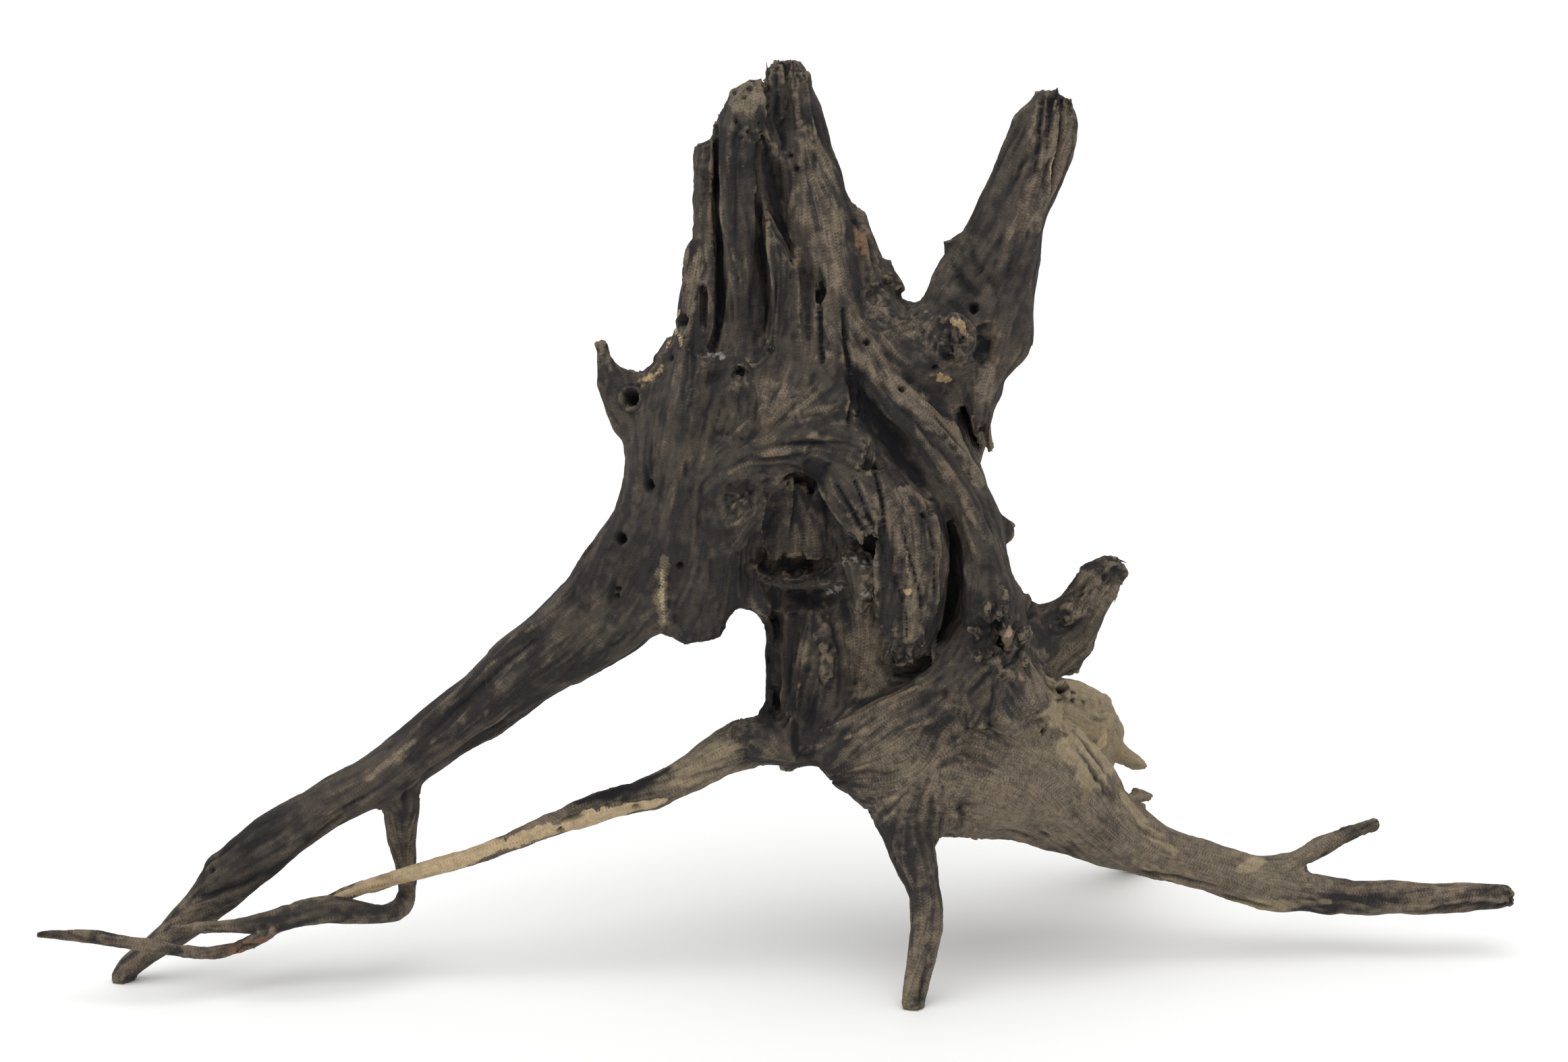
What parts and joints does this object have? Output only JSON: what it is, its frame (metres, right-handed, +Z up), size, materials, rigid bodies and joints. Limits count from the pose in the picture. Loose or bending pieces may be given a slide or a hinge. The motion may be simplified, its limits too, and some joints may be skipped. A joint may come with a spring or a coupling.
{
  "type": "driftwood",
  "caption": "Branching driftwood: a hollow weathered trunk with a split fibrous crown and a horn, standing on three of its roots, with long thin roots to both sides.",
  "frame": {"origin": "centre of the bounding box's bottom, on the surface that the driftwood stands on", "axes": "+X to the picture's right along the two long side roots, +Y away from the viewer, +Z up"},
  "size_m": [0.4426, 0.1376, 0.2719],
  "materials": {
    "dark_wood": "dark weathered wood, dull, with fine grain and worn tan patches",
    "fibrous_wood": "split fibrous wood, dull, tan on the ridges and near black in the clefts",
    "tan_wood": "weathered tan and brown root wood, dull",
    "pale_wood": "pale barkless wood, dull, with strips of dark bark left"
  },
  "bodies": {
    "root": {"trunk": "dark_wood", "crown": "fibrous_wood", "horn": "dark_wood", "side_spur": "dark_wood", "left_root": "dark_wood", "rootlet": "dark_wood", "pale_root": "pale_wood", "front_leg": "tan_wood", "right_root": "tan_wood", "right_twig": "tan_wood", "back_root": "pale_wood"}
  },
  "joints": []
}
